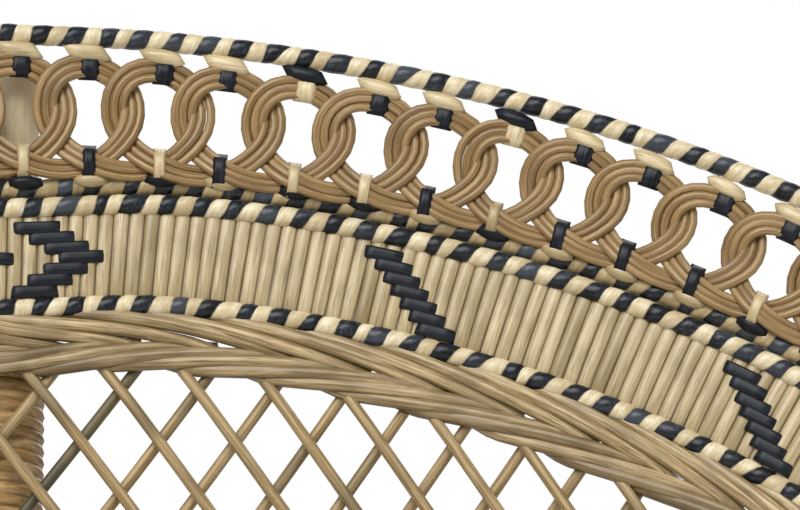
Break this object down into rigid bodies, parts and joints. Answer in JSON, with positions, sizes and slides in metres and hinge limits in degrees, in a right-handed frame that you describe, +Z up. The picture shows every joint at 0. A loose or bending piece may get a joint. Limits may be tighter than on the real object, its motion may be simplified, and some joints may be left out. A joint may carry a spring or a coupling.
{
  "type": "peacock chair",
  "caption": "High fan-backed wicker chair on a waisted drum base, with looped cane edge, striped rims and lattice back.",
  "frame": {"origin": "on the floor, under the middle of the chair's box", "axes": "+Z up, +X across to the right as seen from the front, and the sitter faces -Y"},
  "size_m": [1.129, 0.7964, 1.5223],
  "materials": {
    "striped_peel": "satin",
    "cream_peel": "satin",
    "rattan_cane": "satin",
    "lattice_stake": "matt",
    "braid_cane": "matt",
    "rattan_pole": "satin",
    "seat_cane": "satin"
  },
  "bodies": {
    "root": {"outer_rim": "striped_peel", "ring_band": "rattan_cane", "back_rim": "striped_peel", "panel_upper_rim": "striped_peel", "slat_panel": "cream_peel", "panel_lower_rim": "striped_peel", "border_braid_upper": "braid_cane", "border_braid_lower": "braid_cane", "lattice_front": "lattice_stake", "lattice_back": "lattice_stake", "spine_pole": "rattan_pole", "spine_binding": "rattan_cane", "seat_hoop": "rattan_pole", "seat_bar_cross": "rattan_pole", "seat_bar_front": "rattan_pole", "seat_bar_rear": "rattan_pole", "seat_weave": "seat_cane", "base_stakes_outer": "lattice_stake", "base_stakes_inner": "lattice_stake", "waist_hoop_outer": "braid_cane", "waist_hoop_inner": "braid_cane", "seat_braid": "braid_cane", "foot_braid": "braid_cane", "floor_hoop": "rattan_pole", "floor_bar_cross": "rattan_pole", "floor_bar_front": "rattan_pole", "floor_bar_rear": "rattan_pole", "leg_post_left": "rattan_pole", "leg_post_right": "rattan_pole", "leg_post_front": "rattan_pole", "leg_post_rear": "rattan_pole"}
  },
  "joints": []
}
